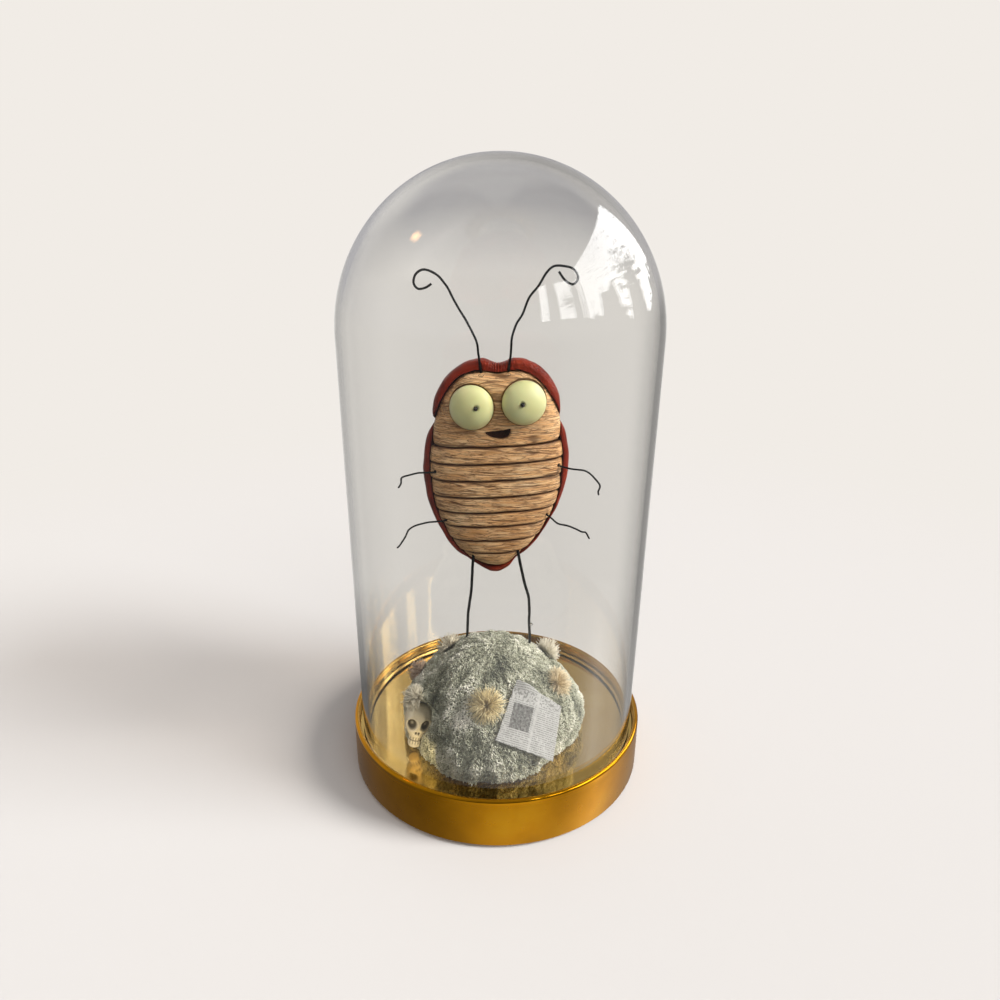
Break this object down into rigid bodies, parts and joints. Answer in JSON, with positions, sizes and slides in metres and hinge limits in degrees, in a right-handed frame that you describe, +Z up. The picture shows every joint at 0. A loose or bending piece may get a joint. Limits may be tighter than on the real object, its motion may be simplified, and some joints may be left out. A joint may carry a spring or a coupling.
{
  "type": "clay insect figure in a glass dome",
  "caption": "Clay beetle with wire legs standing on a flocked mound with grass tufts, a skull bead and a paper scrap, under a glass dome on a round brass tray.",
  "frame": {"origin": "middle of the underside of the felt disc, on the surface the dome stands on", "axes": "+Z up the dome's axis, -Y the way the insect faces, +X to the right as seen from in front; left and right in node names are as seen from in front"},
  "size_m": [0.14, 0.14, 0.2735],
  "materials": {
    "brass": "polished, warm gold, with a mirror-like floor",
    "felt": "black pressed felt",
    "glass": "clear blown glass with a fire-polished foot",
    "flock": "grey-green flock, matt, with a frosted tip colour",
    "ivory": "satin ivory-coloured bead",
    "newsprint": "thin matt newsprint",
    "red_clay": "baked clay, varnished dark red",
    "tan_clay": "baked clay scored like wood grain, dark wash in the scratches, satin varnish",
    "mouth": "dark brown gloss",
    "eye": "pale glow-green plastic, satin gloss",
    "pupil": "black gloss bead",
    "wire": "black annealed wire, satin",
    "grass": "dry static grass fibres, matt"
  },
  "bodies": {
    "root": {"base_tray": "brass", "base_felt": "felt", "glass_dome": "glass", "mound": "flock", "skull": "ivory", "newspaper_scrap": "newsprint", "wing_case": "red_clay", "head_shield": "red_clay", "head": "tan_clay", "mouth": "mouth", "eye_left": "eye", "eye_right": "eye", "pupil_left": "pupil", "pupil_right": "pupil", "belly_strip_1": "tan_clay", "belly_strip_2": "tan_clay", "belly_strip_3": "tan_clay", "belly_strip_4": "tan_clay", "belly_strip_5": "tan_clay", "belly_strip_6": "tan_clay", "belly_strip_7": "tan_clay", "belly_strip_8": "tan_clay", "grass_tuft_1": "grass", "grass_tuft_2": "grass", "grass_tuft_3": "grass", "grass_tuft_4": "grass", "grass_tuft_5": "grass", "grass_tuft_6": "grass", "antenna_left": "wire", "antenna_right": "wire", "arm_upper_left": "wire", "arm_upper_right": "wire", "arm_lower_left": "wire", "arm_lower_right": "wire", "leg_left": "wire", "leg_right": "wire"}
  },
  "joints": []
}
